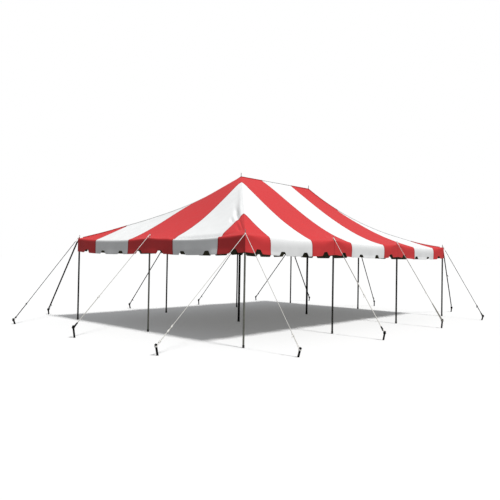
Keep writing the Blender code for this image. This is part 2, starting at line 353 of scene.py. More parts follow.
def eave_size(x, y):
    """Inset at which the cloth starts to turn down at the eave, and the drop to where it hangs straight."""
    place, bays, soft = (x, 3, EAVE_ON_SIDE) if on_side(x, y) else (y, 2, EAVE_ON_END)
    share = (place / POLE_SPACING + bays / 2) % 1
    softness = smooth(0.10, 0.55, min(share, 1 - share) * POLE_SPACING)
    return [between(pair, softness) for pair in zip(EAVE_AT_POLE, soft)]


def eave_curve(high, eave, drop, share):
    """Height on the rounded eave, at a share of the way from its inner edge to where the cloth hangs."""
    return high * (1 - share) ** 2 + 2 * eave * share * (1 - share) + (eave - drop) * share ** 2


def at_inset(x, y, inset):
    """The plan position moved straight in or out to an inset from its eave."""
    if on_side(x, y):
        return x, math.copysign(HALF_WIDTH - inset, y)
    return math.copysign(HALF_LENGTH - inset, x), y


def dressed_top(x, y):
    """Height of the finished roof cloth."""
    start, drop = eave_size(x, y)
    inset = max(0.0, inward_share(x, y)) * HALF_WIDTH
    if inset >= start:
        return taut_top(x, y)
    high, eave = taut_top(*at_inset(x, y, start)), taut_top(*at_inset(x, y, 0.0))
    return eave_curve(high, eave, drop, 1 - math.sqrt(inset / start))


def panel_place(x, y):
    """Distance from the corner along the eave, measured in the cut panels, which narrow upwards."""
    inward = max(0.0, inward_share(x, y))
    along, across = HALF_LENGTH - abs(x), HALF_WIDTH - abs(y)
    near_hip = max(0.0, 1 - abs(along - across) / HIP_ROUNDING)
    from_corner = max(along, across) + 0.25 * HIP_ROUNDING * near_hip ** 2
    gather = PANEL_GATHER * inward ** PANEL_GATHER_POWER
    place = (from_corner - gather * HALF_LENGTH) / (1 - gather)
    corner = "front" if y < 0 else "back", "left" if x < 0 else "right"
    marks = [0.0]
    for (at_eave, at_end, power), end in zip(SEAMS[corner], SEAM_ENDS):
        marks.append(between((at_eave, at_end), min(1.0, inward / end) ** power))
    marks.append(HALF_LENGTH)
    for index, mark in enumerate(marks[1:]):
        if place <= mark:
            share = (place - marks[index]) / (mark - marks[index])
            return between(SEAM_CUTS[index:index + 2], share)
    return place


# Materials


def object_noise(tree, scale, detail=3.0, roughness=0.5, stretch=(1, 1, 1)):
    """Noise in object space, with its scale in features per metre."""
    place = add(tree, "TexCoord")
    spread = add(tree, "Mapping", {"Vector": place.outputs["Object"], "Scale": stretch})
    return add(tree, "TexNoise", {"Vector": spread.outputs["Vector"], "Scale": scale,
                                  "Detail": detail, "Roughness": roughness}).outputs["Fac"]


def ramp(tree, value, start, end, low=0.0, high=1.0, **settings):
    """A value that goes from low to high as another goes from start to end."""
    return add(tree, "MapRange", {"Value": value, "From Min": start, "From Max": end,
                                  "To Min": low, "To Max": high}, **settings).outputs[0]


def mix_colours(tree, share, first, second, **settings):
    """A share of the way from one colour to another."""
    return add(tree, "Mix", {0: share, 6: first, 7: second}, data_type="RGBA", **settings).outputs[2]


def dim_by(tree, colour, factor):
    """A colour multiplied by a factor."""
    grey = add(tree, "CombineColor", {0: factor, 1: factor, 2: factor}).outputs[0]
    return mix_colours(tree, 1.0, colour, grey, blend_type="MULTIPLY")


def shade_by(tree, colour, factor, low, high):
    """Brighten or darken a colour between low and high as a factor runs from 0.3 to 0.7."""
    return dim_by(tree, colour, ramp(tree, factor, 0.3, 0.7, low, high))


def math_node(tree, operation, first, second=0.0):
    """Result of one Math operation on values or sockets."""
    return add(tree, "Math", {0: first, 1: second}, operation=operation).outputs[0]


def relief(tree, height, distance, strength=0.5):
    """Normal of a face with a relief."""
    return add(tree, "Bump", {"Height": height, "Distance": distance, "Strength": strength}).outputs["Normal"]


def coated_vinyl(name, hem=False, shade=1.0):
    """PVC-coated polyester, calendered smooth over a woven scrim, in red and white panels.

    The eye sees an even satin face with soft highlights, a faint weave and welded seams.
    """
    material, tree, shader = start_material(name)
    uv = add(tree, "UVMap", uv_map="panels")
    split = add(tree, "SeparateXYZ", {0: uv.outputs["UV"]})
    along, across = split.outputs["X"], split.outputs["Y"]
    shifted = math_node(tree, "ADD", along, 0.5 * PANEL_WIDTH)
    panel = math_node(tree, "DIVIDE", shifted, PANEL_WIDTH)
    white = math_node(tree, "MODULO", math_node(tree, "FLOOR", panel), 2.0)
    from_seam = math_node(tree, "MULTIPLY", math_node(tree, "PINGPONG", panel, 0.5), PANEL_WIDTH)
    colour = mix_colours(tree, white, linear("#D53C3E"), linear("#F3F4F4"))

    # Handling marks and a little dust, a hand's breadth across
    marks = object_noise(tree, 5.0, detail=5.0, roughness=0.6)
    # A shade below 1 darkens the whole colour as painted shade; only the welt's vinyl uses it
    colour = shade_by(tree, colour, marks, 0.965 * shade, shade)
    # Where two layers of cloth are welded, 28 mm wide, the red is deeper. The white hardly changes.
    weld = ramp(tree, from_seam, 0.024, 0.032, 0.68, 1.0, interpolation_type="SMOOTHSTEP")
    loss = math_node(tree, "SUBTRACT", 1.0, weld)
    lifted = math_node(tree, "MULTIPLY", loss, math_node(tree, "MULTIPLY", white, 0.92))
    colour = dim_by(tree, colour, math_node(tree, "ADD", weld, lifted))
    if hem:
        # Lock stitches 4 mm long, in a grey thread sunk into the cloth
        edge = add(tree, "Attribute", attribute_name="above_edge").outputs["Fac"]
        dash = math_node(tree, "LESS_THAN", math_node(tree, "PINGPONG", along, 0.004), 0.0028)
        for line, measure in ((HEM, edge), (0.010, across), (0.030, across)):
            near = math_node(tree, "COMPARE", measure, line)
            near.node.inputs[2].default_value = 0.0009
            stitch = math_node(tree, "MULTIPLY", math_node(tree, "MULTIPLY", near, dash), 0.5)
            colour = mix_colours(tree, stitch, colour, linear("#8E8A86"))

    # Scrim threads lie 2.8 mm apart: drawn three times coarser, or they would not show
    thread = 2 * math.pi / 0.0084
    warp = math_node(tree, "SINE", math_node(tree, "MULTIPLY", along, thread))
    weft = math_node(tree, "SINE", math_node(tree, "MULTIPLY", across, thread))
    weave = math_node(tree, "MULTIPLY", math_node(tree, "ADD", warp, weft), 0.00004)
    # Soft creases left from packing
    creases = object_noise(tree, 2.2, detail=4.0, roughness=0.55, stretch=(1, 1, 0.4))
    soft = math_node(tree, "MULTIPLY", creases, 0.012)
    step = ramp(tree, from_seam, 0.010, 0.013, 0.0007, 0.0, interpolation_type="SMOOTHSTEP")
    height = math_node(tree, "ADD", math_node(tree, "ADD", weave, soft), step)
    feed(tree, shader, {"Base Color": colour, "Roughness": ramp(tree, marks, 0.3, 0.7, 0.42, 0.54),
                        "IOR": 1.5, "Specular IOR Level": 0.25, "Normal": relief(tree, height, 1.0, 0.6)})
    return material


def lining_coat():
    """Back of the vinyl: a dull olive grey, much darker than its face."""
    material, tree, shader = start_material("dark_olive_lining")
    marks = object_noise(tree, 4.0, detail=4.0)
    creases = object_noise(tree, 2.2, detail=4.0, roughness=0.55, stretch=(1, 1, 0.4))
    feed(tree, shader, {"Base Color": shade_by(tree, linear("#7E7B66"), marks, 0.85, 1.1),
                        "Roughness": 0.72, "Specular IOR Level": 0.25,
                        "Normal": relief(tree, creases, 0.012, 0.6)})
    return material


def webbing_weave():
    """Woven polyester webbing, off-white and dull, with small uneven ribs."""
    material, tree, shader = start_material("polyester_webbing")
    marks = object_noise(tree, 14.0)
    ribs = object_noise(tree, 260.0, detail=1.0)
    feed(tree, shader, {"Base Color": shade_by(tree, linear("#8E8C82"), marks, 0.8, 1.0),
                        "Roughness": 0.85, "Normal": relief(tree, ribs, 0.001)})
    return material


def weathered_tube(name, hex_dark, hex_light):
    """Galvanised steel tube, drawn and dipped, gone dull and olive with age, with streaks down its length."""
    material, tree, shader = start_material(name)
    streaks = object_noise(tree, 60.0, detail=4.0, roughness=0.6, stretch=(1, 1, 0.06))
    blotches = object_noise(tree, 18.0, detail=5.0)
    mixed = math_node(tree, "MULTIPLY", math_node(tree, "ADD", streaks, blotches), 0.5)
    share = ramp(tree, mixed, 0.38, 0.62)
    feed(tree, shader, {"Base Color": mix_colours(tree, share, linear(hex_dark), linear(hex_light)),
                        "Metallic": 0.35, "Roughness": ramp(tree, blotches, 0.3, 0.7, 0.42, 0.62),
                        "Normal": relief(tree, blotches, 0.0006, 0.4)})
    return material


def zinc_plate():
    """Zinc-plated steel of the pins and grommets: mid grey, with fine scratches."""
    material, tree, shader = start_material("zinc_plated_steel")
    scratches = object_noise(tree, 220.0, detail=2.0, stretch=(1, 1, 0.15))
    feed(tree, shader, {"Base Color": shade_by(tree, linear("#8C8C8A"), scratches, 0.75, 1.05),
                        "Metallic": 0.8, "Roughness": 0.42})
    return material


def moulded_rubber():
    """Black rubber of the foot caps, moulded, scuffed paler in patches."""
    material, tree, shader = start_material("moulded_rubber")
    scuffs = object_noise(tree, 45.0, detail=5.0, roughness=0.7)
    feed(tree, shader, {"Base Color": shade_by(tree, linear("#23221F"), scuffs, 0.8, 1.5), "Roughness": 0.8})
    return material


def black_iron():
    """Forged stake steel under black paint rubbed thin in use: dull black, hammered, brown where it has
    chipped.
    """
    material, tree, shader = start_material("forged_black_steel")
    chips = ramp(tree, object_noise(tree, 55.0, detail=6.0, roughness=0.7), 0.58, 0.64)
    dents = object_noise(tree, 90.0, detail=2.0)
    feed(tree, shader, {"Base Color": mix_colours(tree, chips, linear("#0B0A0A"), linear("#1E1712")),
                        "Roughness": 0.65, "Specular IOR Level": 0.2, "Normal": relief(tree, dents, 0.0015)})
    return material


def braided_rope(name, hex_colour, sheen):
    """Braided polyester rope: matt, with the strands of the braid 4 mm apart and a silky sheen."""
    material, tree, shader = start_material(name)
    strands = object_noise(tree, 250.0, detail=1.0)
    feed(tree, shader, {"Base Color": shade_by(tree, linear(hex_colour), strands, 0.90, 1.0),
                        "Roughness": 0.85, "Specular IOR Level": 0.2, "Sheen Weight": sheen,
                        "Sheen Roughness": 0.5, "Normal": relief(tree, strands, 0.0015, 0.7)})
    return material


# Cloth pieces


def write_panels(thing, across_of):
    """Write the panel map: metres from the corner along the eave, and metres across the cloth."""
    mesh = thing.data
    for layer in list(mesh.uv_layers):
        mesh.uv_layers.remove(layer)
    layer = mesh.uv_layers.new(name="panels")
    places = {}
    for vert in mesh.vertices:
        x, y = vert.co.x, vert.co.y + PITCH_FORWARD
        places[vert.index] = (panel_place(x, y), across_of(vert))
    for loop in mesh.loops:
        layer.data[loop.index].uv = places[loop.vertex_index]


def up_slope(vert):
    """Metres up the roof's slope at a vertex."""
    return HALF_WIDTH * SLOPE_STRETCH * inward_share(vert.co.x, vert.co.y + PITCH_FORWARD)


def make_roof(outer, lining):
    """The roof: one sewn sheet over the two centre poles, creased along its four hips."""
    bpy.ops.object.select_all(action="DESELECT")
    columns, rows = round(2 * HALF_LENGTH / CELL), round(2 * HALF_WIDTH / CELL)
    bpy.ops.mesh.primitive_grid_add(x_subdivisions=columns, y_subdivisions=rows, size=1)
    roof = bpy.context.object
    roof.scale = (2 * HALF_LENGTH, 2 * HALF_WIDTH, 1)
    keep_place_in_mesh(roof)
    bpy.ops.object.mode_set(mode="EDIT")
    for end in (-1, 1):
        for side in (-1, 1):
            bpy.ops.mesh.select_all(action="SELECT")
            bpy.ops.mesh.bisect(plane_co=(end * HALF_LENGTH, side * HALF_WIDTH, 0), plane_no=(end, -side, 0))
    bpy.ops.mesh.select_mode(type="FACE")
    bpy.ops.mesh.select_all(action="DESELECT")
    bpy.ops.object.mode_set(mode="OBJECT")
    for face in roof.data.polygons:
        x, y = face.center.x, face.center.y
        by_hip = abs(HALF_LENGTH + x - HALF_WIDTH - y) < FINE_REACH * math.sqrt(2)
        by_eave = x < FINE_EAVE_WIDTH - HALF_LENGTH and FINE_EAVE[0] < y < FINE_EAVE[1]
        up = inward_share(x, y)
        face.select = by_eave or (x < 0 and by_hip and FINE_INWARD[0] < up < FINE_INWARD[1])
    bpy.ops.object.mode_set(mode="EDIT")
    bpy.ops.mesh.subdivide(number_cuts=3)
    bpy.ops.object.mode_set(mode="OBJECT")
    for vert in roof.data.vertices:
        x, y = vert.co.x, vert.co.y
        x = max(-HALF_LENGTH + ROOF_INSET, min(HALF_LENGTH - ROOF_INSET, x))
        y = max(-HALF_WIDTH + ROOF_INSET, min(HALF_WIDTH - ROOF_INSET, y))
        vert.co = (x, y - PITCH_FORWARD, dressed_top(x, y))
    write_panels(roof, up_slope)
    dress(roof, outer, lining)
    thicken(roof, CLOTH_THICKNESS, -1, lined=True)
    bpy.ops.object.shade_smooth_by_angle(angle=math.radians(22))
    return finish_piece(roof, "roof_cloth",
                        ("canopy_front", "canopy_back", "canopy_left_end", "canopy_right_end"))


def notch_distance(from_tab):
    """Distance from the middle of the nearest notch, at a distance from the middle of a tab."""
    return abs((from_tab / SCALLOP_PITCH) % 1 - 0.5) * SCALLOP_PITCH


def make_valance(name, is_end, sign, outer, lining, seed):
    """One strip of valance: its flap on the roof, the rounded eave and the scalloped skirt."""
    draw = random.Random(seed)
    half = HALF_WIDTH if is_end else HALF_LENGTH
    edge = HALF_LENGTH if is_end else HALF_WIDTH
    columns = round(2 * half / VALANCE_CELL)
    rows = FLAP_ROWS + ROUND_ROWS + HANG_ROWS
    tabs = [draw.uniform(-0.010, 0.014) for _ in range(round(2 * half / SCALLOP_PITCH) + 1)]
    phase = [draw.uniform(0, 2 * math.pi) for _ in range(3)]
    first_tab = half + NOTCH_SHIFT.get(name, 0.0)

    def plan(along, inset):
        """Plan position at a place along the strip and an inset from its eave."""
        place = along * (half - max(inset, 0.0)) / half
        return (sign * (edge - inset), place) if is_end else (place, sign * (edge - inset))

    def point(along, row):
        """Position, metres across the strip and height above the scalloped edge."""
        turn, eave_drop = eave_size(*plan(along, 0.0))
        if row <= FLAP_ROWS:
            inset = between((FLAP_WIDTH, turn), row / FLAP_ROWS)
            return (*plan(along, inset), taut_top(*plan(along, inset)) + FLAP_LIFT), FLAP_WIDTH - inset, 1.0
        eave = taut_top(*plan(along, 0.0))
        if row <= FLAP_ROWS + ROUND_ROWS:
            share = (row - FLAP_ROWS) / ROUND_ROWS
            high = taut_top(*plan(along, turn)) + FLAP_LIFT
            height = eave_curve(high, eave, eave_drop, share)
            return (*plan(along, turn * (1 - share) ** 2), height), FLAP_WIDTH + eave_drop * share, 1.0
        share = (row - FLAP_ROWS - ROUND_ROWS) / HANG_ROWS
        from_notch = notch_distance(along + first_tab)
        rise = NOTCH_HEIGHT * smooth(NOTCH_HALF_WIDTH, NOTCH_TOP_HALF, from_notch)
        full = VALANCE_DEPTHS[name] - eave_drop
        drop = (full - rise) * share
        fade = smooth(0.0, 0.12, half - abs(along))
        wave = 0.5 * math.sin(2 * math.pi * along / 0.93 + phase[0])
        wave += 0.3 * math.sin(2 * math.pi * along / 0.41 + phase[1])
        wave += 0.5 * math.sin(2 * math.pi * along / 2.2 + phase[2])
        tab = tabs[round((along + first_tab) / SCALLOP_PITCH)]
        low = drop / full
        flare = tab * smooth(0.55, 1.0, low) * smooth(0.0, 0.2, from_notch)
        outward = fade * (0.010 * wave * low ** 1.2 + flare)
        place = (*plan(along, -outward), eave - eave_drop - drop)
        return place, FLAP_WIDTH + eave_drop + drop, full - rise - drop

    bpy.ops.object.select_all(action="DESELECT")
    bpy.ops.mesh.primitive_grid_add(x_subdivisions=columns, y_subdivisions=rows, size=2)
    strip = bpy.context.object
    mesh = strip.data
    across = {}
    above = []
    for vert in mesh.vertices:
        along = vert.co.x * half
        row = round((1 - vert.co.y) * 0.5 * rows)
        place, across[vert.index], over = point(along, row)
        above.append(over)
        vert.co = (place[0], place[1] - PITCH_FORWARD, place[2])
    edge_height = mesh.attributes.new("above_edge", "FLOAT", "POINT")
    edge_height.data.foreach_set("value", above)
    write_panels(strip, lambda v: across[v.index])
    only(strip)
    bpy.ops.object.mode_set(mode="EDIT")
    bpy.ops.mesh.select_all(action="SELECT")
    bpy.ops.mesh.normals_make_consistent(inside=False)
    bpy.ops.object.mode_set(mode="OBJECT")
    middle = mesh.polygons[len(mesh.polygons) // 2]
    outward = Vector((sign, 0, 0)) if is_end else Vector((0, sign, 0))
    if middle.normal.dot(outward) < 0:
        mesh.flip_normals()
    dress(strip, outer, lining)
    thicken(strip, CLOTH_THICKNESS, -1, lined=True)
    bpy.ops.object.shade_smooth_by_angle(angle=math.radians(40))
    finish_piece(strip, f"valance_cloth_{name}", (f"valance_{name}",))
    return strip


def make_ribbon(start, end, offset):
    """A flat band between two places in plan, at an offset below the cloth."""
    run = Vector(end) - Vector(start)
    side = Vector((-run.y, run.x)).normalized() * 0.5 * WEBBING_WIDTH
    steps = max(2, round(run.length / 0.08))
    bpy.ops.object.select_all(action="DESELECT")
    bpy.ops.mesh.primitive_grid_add(x_subdivisions=steps, y_subdivisions=2, size=2)
    ribbon = bpy.context.object
    for vert in ribbon.data.vertices:
        place = Vector(start) + run * (0.5 + 0.5 * vert.co.x) + side * vert.co.y
        height = min(dressed_top(place.x, place.y), dressed_top(*(place - side * 0.4 * vert.co.y)))
        vert.co = (place.x, place.y - PITCH_FORWARD, height - offset)
    thicken(ribbon, 0.0015, 0)
    return ribbon


def make_webbing(material):
    """Load webbing sewn under the hips, the ridge, the pole lines and round the eave."""
    far_x, far_y = HALF_LENGTH - WEBBING_INSET, HALF_WIDTH - WEBBING_INSET
    lines = []
    for end in (-1, 1):
        for side in (-1, 1):
            peak = (end * (RIDGE_HALF + 0.05), side * 0.05)
            lines.append((peak, (end * far_x, side * far_y), 0.0062))
            lines.append(((end * RIDGE_HALF, side * 0.08), (end * RIDGE_HALF, side * far_y), 0.0048))
        lines.append(((end * (RIDGE_HALF + 0.08), 0), (end * far_x, 0), 0.0048))
        lines.append(((end * far_x, -far_y), (end * far_x, far_y), 0.0042))
        lines.append(((-far_x, end * far_y), (far_x, end * far_y), 0.0042))
    lines.append(((-RIDGE_HALF + 0.04, 0), (RIDGE_HALF - 0.04, 0), 0.0055))
    webbing = join([make_ribbon(*line) for line in lines])
    dress(webbing, material)
    return finish_piece(webbing, "underside_webbing")


def make_welt(outer):
    """A rolled welt of the same vinyl along the ridge and the hips, given a darker copy of its colour as
    painted shade.
    """
    lines = [((-RIDGE_HALF, 0.0), (RIDGE_HALF, 0.0))]
    for end, side in ((-1, 1), (1, -1), (1, 1)):
        foot = (end * (HALF_LENGTH - FLAP_WIDTH), side * (HALF_WIDTH - FLAP_WIDTH))
        lines.append(((end * RIDGE_HALF, 0.0), foot))
    paths = []
    for line in lines:
        steps = round((Vector(line[1]) - Vector(line[0])).length / CELL)
        spots = [(between((line[0][0], line[1][0]), i / steps), between((line[0][1], line[1][1]), i / steps))
                 for i in range(steps + 1)]
        paths.append([(x, y - PITCH_FORWARD, dressed_top(x, y) + 0.5 * WELT_RADIUS) for x, y in spots])
    welt = tube_from(paths, WELT_RADIUS, "roof_welt")
    write_panels(welt, up_slope)
    dress(welt, outer)
    return finish_piece(welt, "roof_welt")


# Turned pieces


def turned(rings, segments):
    """A round piece raised ring by ring from its foot; a ring is (radius, height, material index)."""
    bpy.ops.object.select_all(action="DESELECT")
    radius, height = rings[0][:2]
    bpy.ops.mesh.primitive_circle_add(vertices=segments, radius=radius, fill_type="NGON",
                                      location=(0, 0, height))
    piece = bpy.context.object
    keep_place_in_mesh(piece)
    bpy.ops.object.mode_set(mode="EDIT")
    bpy.ops.mesh.select_all(action="SELECT")
    for next_radius, next_height, _ in rings[1:]:
        bpy.ops.mesh.extrude_region_move(TRANSFORM_OT_translate={"value": (0, 0, next_height - height)})
        grow = next_radius / radius
        bpy.ops.transform.resize(value=(grow, grow, 1), center_override=(0, 0, next_height))
        radius, height = next_radius, next_height
    bpy.ops.mesh.select_all(action="SELECT")
    bpy.ops.mesh.normals_make_consistent(inside=False)
    bpy.ops.object.mode_set(mode="OBJECT")
    levels = [(low[1], high[1], high[2]) for low, high in zip(rings, rings[1:])]
    for face in piece.data.polygons:
        middle = face.center.z
        for low, high, index in levels:
            if low - 0.00001 <= middle <= high + 0.00001:
                face.material_index = index
                break
    bpy.ops.object.shade_smooth_by_angle(angle=math.radians(35))
    return piece


def lowest_over(x, y, radius):
    """Lowest point of the cloth over a round pole top, at tent coordinates."""
    angles = [i * math.pi / 16 for i in range(32)]
    return min(taut_top(x + radius * math.cos(a), y + radius * math.sin(a)) for a in angles)


def copy_piece(piece):
    """A copy with its own mesh."""
    twin = piece.copy()
    twin.data = piece.data.copy()
    bpy.context.scene.collection.objects.link(twin)
    return twin


def stand_pole(model, node, nominal, radius, materials):
    """Stand a copy of a pole in the place of its node, stretched to reach the cloth."""
    x, y, tip = pole_place(node)
    tip_rise = tip - max(v.co.z for v in model.data.vertices)
    wider = SIDE_POLE_WIDTHS.get(node.removeprefix("side_pole_"), 1.0)
    shoulder = lowest_over(x, y + PITCH_FORWARD, radius * wider) - CLOTH_THICKNESS - 0.002
    pole = copy_piece(model)
    for vert in pole.data.vertices:
        if vert.co.z > nominal + 0.0005:
            vert.co.z += tip_rise
        elif vert.co.z > 0.5 * nominal:
            vert.co.z += shoulder - nominal
    pole.data.transform(Matrix.Translation((x, y, 0)) @ Matrix.Diagonal((wider, wider, 1, 1)))
    dress(pole, *materials)
    return finish_piece(pole, f"{node}_tube", (node,))


def make_poles(tube, painted_light_tube, painted_shade_tube, zinc, rubber):
    """Side and centre poles: tube, rubber foot cap, plugged top and the pin through the cloth."""
    side_top = 2.10
    r = SIDE_POLE_RADIUS
    p = SIDE_PIN_RADIUS
    side = turned((
        (r + 0.0010, 0.000, 2), (r + 0.0030, 0.002, 2), (r + 0.0030, 0.051, 2), (r + 0.0022, 0.055, 2),
        (r, 0.0551, 2), (r, 0.30, 0), (r, 1.20, 0), (r, side_top - 0.034, 0),
        (r + 0.0006, side_top - 0.033, 0), (r + 0.0006, side_top - 0.012, 1),
        (r, side_top - 0.011, 1), (r, side_top - 0.002, 1),
        (r - 0.002, side_top, 1), (p, side_top + 0.0008, 1), (p, side_top + 0.094, 1),
        (p - 0.0015, side_top + 0.0975, 1), (p - 0.0045, side_top + 0.099, 1)), 24)
    for node in nodes_named("side_pole"):
        # The near poles take the paler copy of the tube colour, painted light
        stand_pole(side, node, side_top, r, [painted_light_tube if node in NEAR_POLES else tube, zinc, rubber])
    bpy.data.objects.remove(side)

    centre_top = 3.85
    r = CENTRE_POLE_RADIUS
    p = CENTRE_PIN_RADIUS
    joint = 1.92
    centre = turned((
        (r + 0.0010, 0.000, 2), (r + 0.0030, 0.002, 2), (r + 0.0030, 0.051, 2), (r + 0.0022, 0.055, 2),
        (r, 0.0551, 2), (r, 0.50, 0), (r, joint - 0.082, 0), (r + 0.0025, joint - 0.080, 0),
        (r + 0.0025, joint + 0.080, 0), (r, joint + 0.082, 0), (r, 3.0, 0), (r, centre_top - 0.04, 0),
        (r + 0.0006, centre_top - 0.039, 1), (r + 0.0006, centre_top - 0.012, 1), (r, centre_top - 0.011, 1),
        (r - 0.003, centre_top, 1), (p, centre_top + 0.0008, 1), (p, centre_top + 0.150, 1),
        (p - 0.002, centre_top + 0.155, 1), (p - 0.006, centre_top + 0.158, 1)), 32)
    # The centre poles stand under the roof and take the darker copy of the tube colour: painted shade
    for node in ("centre_pole_left", "centre_pole_right"):
        stand_pole(centre, node, centre_top, r, [painted_shade_tube, zinc, rubber])
    bpy.data.objects.remove(centre)


# Ropes


def mean_point(points):
    """Average of some points."""
    return sum(points, Vector()) / len(points)


def stake_axis(node):
    """Foot, upward direction and length of a stake, read from its solid."""
    points = [v.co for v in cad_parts[node].data.vertices]
    foot = mean_point([p for p in points if p.z < 0.0005])
    farthest = max((p - foot).length for p in points)
    head = mean_point([p for p in points if (p - foot).length > farthest - 0.003])
    return foot, (head - foot).normalized(), (head - foot).length


def coil(centre, axis, radius, pitch, turns):
    """Points of a coil round an axis."""
    axis = axis.normalized()
    across = axis.orthogonal().normalized()
    deep = axis.cross(across)
    steps = round(turns * 12)
    points = []
    for step in range(steps + 1):
        angle = 2 * math.pi * step / 12
        rise = pitch * (step / 12 - 0.5 * turns)
        points.append(centre + axis * rise + (across * math.cos(angle) + deep * math.sin(angle)) * radius)
    return points


def tube_from(paths, radius, name):
    """One mesh of round rope along several paths."""
    curve = bpy.data.curves.new(name, "CURVE")
    curve.dimensions = "3D"
    curve.bevel_depth = radius
    curve.bevel_resolution = 2
    curve.use_fill_caps = True
    for path in paths:
        spline = curve.splines.new("POLY")
        spline.points.add(len(path) - 1)
        for control, point in zip(spline.points, path):
            control.co = (*point, 1)
    thing = bpy.data.objects.new(name, curve)
    bpy.context.scene.collection.objects.link(thing)
    only(thing)
    bpy.ops.object.convert(target="MESH")
    bpy.ops.object.shade_smooth_by_angle(angle=math.radians(60))
    return bpy.context.object


# Look of a rope: colour, sheen and radius, fitted to how pale, dark and thick it looks in the photo. The rope
# is white: the greyer and near-black looks are painted shade, and the thickest near-black look also draws the
# black straps at three stakes
ROPE_LOOKS = {
    "clean": ("#FFFDF8", 0.8, 0.0055),
    "knotted": ("#FFFDF8", 0.8, 0.0068),
    "pale": ("#E6E4DE", 0.5, 0.0062),
    "light_painted_shade": ("#CDCBC5", 0.3, 0.0068),
    "mid_painted_shade": ("#A9A69E", 0.2, 0.0086),
    "grey": ("#A19E95", 0.1, 0.0100),
    "dark": ("#0E0D0B", 0.0, 0.0078),
    "strap_and_painted_shade": ("#0C0B0A", 0.0, 0.0105),
}
# Length below the pin over which a rope is drawn in its own white, on the pale ropes and on the dark ones;
# further down it takes its greyer or near-black look, which is painted shade
WHITE_TOP = 0.45
DARK_ROPE_WHITE_TOP = 0.18
# The near corner's ropes leave their pin at its foot and bend over the tip of the corner:
# height above the cloth on the pin, then the bend from there. Their spare end stands up by the pin.
NEAR_CORNER_ROPE = (0.014, (-0.040, -0.040, -0.010))
SPARE_END = (-0.010, -0.010, 0.070)
# How far down the other ropes the two strands round the pin come together in a hitch
HITCH_LENGTH = 0.075
# The spare end at the last knot: how far to the side of the rope and how far up each point lies
SPARE_TAIL = ((0.020, 0.006), (0.035, -0.012), (0.040, -0.035))
# Length of the clean knot that ties a strap to its stake
STRAP_KNOT = {"front_2": 0.055}

# Where a rope is made fast to itself, as shares of its length from the pin, the look of its single run, or
# None if it is doubled all the way, the look of its doubled run, and the look and length of its loop
# Every look darker than the white ones is painted shade on the white rope, except the black straps at three
# stakes
ROPES = {
    "front_1": ((0.88,), "pale", "pale", ("knotted", 0.10)),
    "front_1_end": ((0.837, 0.877, 0.962), "pale", "pale", ("knotted", 0.10)),
    "front_2": ((0.50, 0.62), "mid_painted_shade", "pale", ("strap_and_painted_shade", 0.16)),
    "front_3": ((0.65,), "mid_painted_shade", "light_painted_shade", ("grey", 0.50)),
    "left_middle": ((0.69,), "light_painted_shade", "light_painted_shade", ("strap_and_painted_shade", 0.13)),
    "front_4": ((0.86,), "dark", "dark", ("strap_and_painted_shade", 0.12)),
    "front_4_end": ((0.45,), None, "dark", ("dark", 0.12)),
    "back_1_end": ((0.82, 0.97), "dark", "dark", ("light_painted_shade", 0.08)),
    "back_1": ((0.92,), None, "strap_and_painted_shade", ("strap_and_painted_shade", 0.12)),
    "back_2": ((0.92,), None, "dark", ("dark", 0.12)),
    "back_3": ((0.92,), None, "dark", ("dark", 0.12)),
    "back_4": ((0.92,), None, "strap_and_painted_shade", ("strap_and_painted_shade", 0.12)),
    "back_4_end": ((0.92,), None, "strap_and_painted_shade", ("strap_and_painted_shade", 0.12)),
    "right_middle": ((0.92,), None, "dark", ("dark", 0.12)),
}


